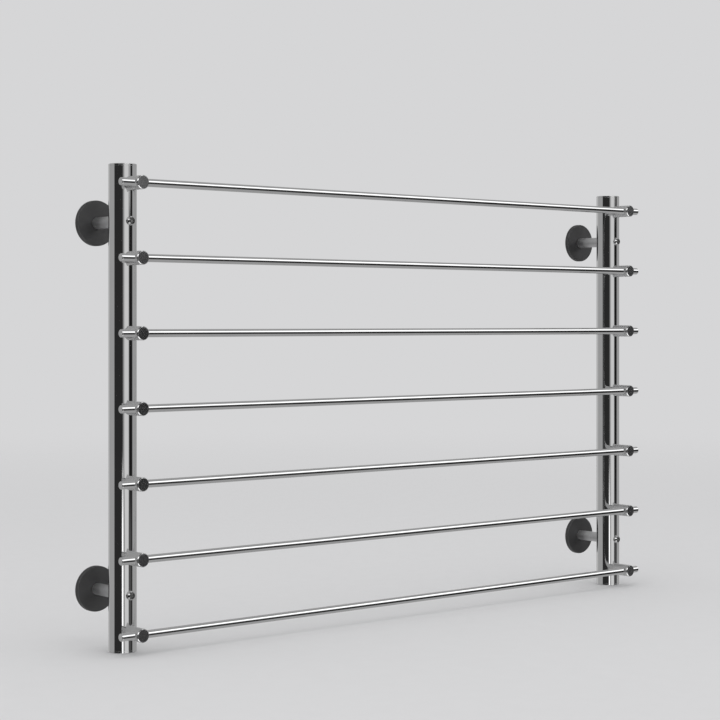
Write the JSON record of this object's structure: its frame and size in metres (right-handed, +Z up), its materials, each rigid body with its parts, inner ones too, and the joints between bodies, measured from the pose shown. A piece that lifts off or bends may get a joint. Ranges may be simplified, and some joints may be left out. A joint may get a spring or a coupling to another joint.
{
  "type": "window security bar",
  "caption": "Polished steel window guard: two round wall-mounted posts joined by thin round crossbars that slide in clamp holders, on stems with disc covers.",
  "frame": {"origin": "on the wall's surface, in the middle between the centres of the four wall brackets", "axes": "+X along the crossbars to the right as seen from the room side, +Y into the wall, +Z up"},
  "size_m": [1.16, 0.133, 0.732],
  "materials": {
    "polished_steel": "mirror-polished stainless steel",
    "satin_steel": "satin stainless steel",
    "rosette_steel": "dark satin steel",
    "screw_steel": "polished stainless steel",
    "zinc_steel": "bright zinc plating"
  },
  "bodies": {
    "frame": {"left_post": "polished_steel", "right_post": "polished_steel", "left_post_top_cap": "polished_steel", "left_post_bottom_cap": "polished_steel", "right_post_top_cap": "polished_steel", "right_post_bottom_cap": "polished_steel", "top_left_wall_plate": "satin_steel", "bottom_left_wall_plate": "satin_steel", "top_right_wall_plate": "satin_steel", "bottom_right_wall_plate": "satin_steel", "top_left_stem": "satin_steel", "bottom_left_stem": "satin_steel", "top_right_stem": "satin_steel", "bottom_right_stem": "satin_steel", "left_bracket_bolts": "screw_steel", "left_saddle_washers": "screw_steel", "right_bracket_bolts": "screw_steel", "right_saddle_washers": "screw_steel", "left_holder_1": "polished_steel", "left_holder_2": "polished_steel", "left_holder_3": "polished_steel", "left_holder_4": "polished_steel", "left_holder_5": "polished_steel", "left_holder_6": "polished_steel", "left_holder_7": "polished_steel", "right_holder_1": "polished_steel", "right_holder_2": "polished_steel", "right_holder_3": "polished_steel", "right_holder_4": "polished_steel", "right_holder_5": "polished_steel", "right_holder_6": "polished_steel", "right_holder_7": "polished_steel", "left_holder_studs": "zinc_steel", "left_rivet_nuts": "zinc_steel", "left_clamp_screws": "screw_steel", "right_holder_studs": "zinc_steel", "right_rivet_nuts": "zinc_steel", "right_clamp_screws": "screw_steel"},
    "top_left_rosette": {"top_left_rosette": "rosette_steel"},
    "bottom_left_rosette": {"bottom_left_rosette": "rosette_steel"},
    "top_right_rosette": {"top_right_rosette": "rosette_steel"},
    "bottom_right_rosette": {"bottom_right_rosette": "rosette_steel"},
    "crossbar_1": {"crossbar_1": "polished_steel", "crossbar_1_end_plugs": "polished_steel"},
    "crossbar_2": {"crossbar_2": "polished_steel", "crossbar_2_end_plugs": "polished_steel"},
    "crossbar_3": {"crossbar_3": "polished_steel", "crossbar_3_end_plugs": "polished_steel"},
    "crossbar_4": {"crossbar_4": "polished_steel", "crossbar_4_end_plugs": "polished_steel"},
    "crossbar_5": {"crossbar_5": "polished_steel", "crossbar_5_end_plugs": "polished_steel"},
    "crossbar_6": {"crossbar_6": "polished_steel", "crossbar_6_end_plugs": "polished_steel"},
    "crossbar_7": {"crossbar_7": "polished_steel", "crossbar_7_end_plugs": "polished_steel"}
  },
  "joints": [
    {"name": "top_left_rosette_slide", "type": "slide", "parent": "frame", "child": "top_left_rosette", "axis": [0, -1, 0], "range_m": [0, 0.048]},
    {"name": "top_right_rosette_slide", "type": "slide", "parent": "frame", "child": "top_right_rosette", "axis": [0, -1, 0], "range_m": [0, 0.048]},
    {"name": "bottom_left_rosette_slide", "type": "slide", "parent": "frame", "child": "bottom_left_rosette", "axis": [0, -1, 0], "range_m": [0, 0.048]},
    {"name": "bottom_right_rosette_slide", "type": "slide", "parent": "frame", "child": "bottom_right_rosette", "axis": [0, -1, 0], "range_m": [0, 0.048]},
    {"name": "crossbar_1_slide", "type": "slide", "parent": "frame", "child": "crossbar_1", "axis": [1, 0, 0], "range_m": [-0.0175, 0.0235]},
    {"name": "crossbar_2_slide", "type": "slide", "parent": "frame", "child": "crossbar_2", "axis": [1, 0, 0], "range_m": [-0.0175, 0.0235]},
    {"name": "crossbar_3_slide", "type": "slide", "parent": "frame", "child": "crossbar_3", "axis": [1, 0, 0], "range_m": [-0.0175, 0.0235]},
    {"name": "crossbar_4_slide", "type": "slide", "parent": "frame", "child": "crossbar_4", "axis": [1, 0, 0], "range_m": [-0.0175, 0.0235]},
    {"name": "crossbar_5_slide", "type": "slide", "parent": "frame", "child": "crossbar_5", "axis": [1, 0, 0], "range_m": [-0.0175, 0.0235]},
    {"name": "crossbar_6_slide", "type": "slide", "parent": "frame", "child": "crossbar_6", "axis": [1, 0, 0], "range_m": [-0.0175, 0.0235]},
    {"name": "crossbar_7_slide", "type": "slide", "parent": "frame", "child": "crossbar_7", "axis": [1, 0, 0], "range_m": [-0.0175, 0.0235]}
  ]
}
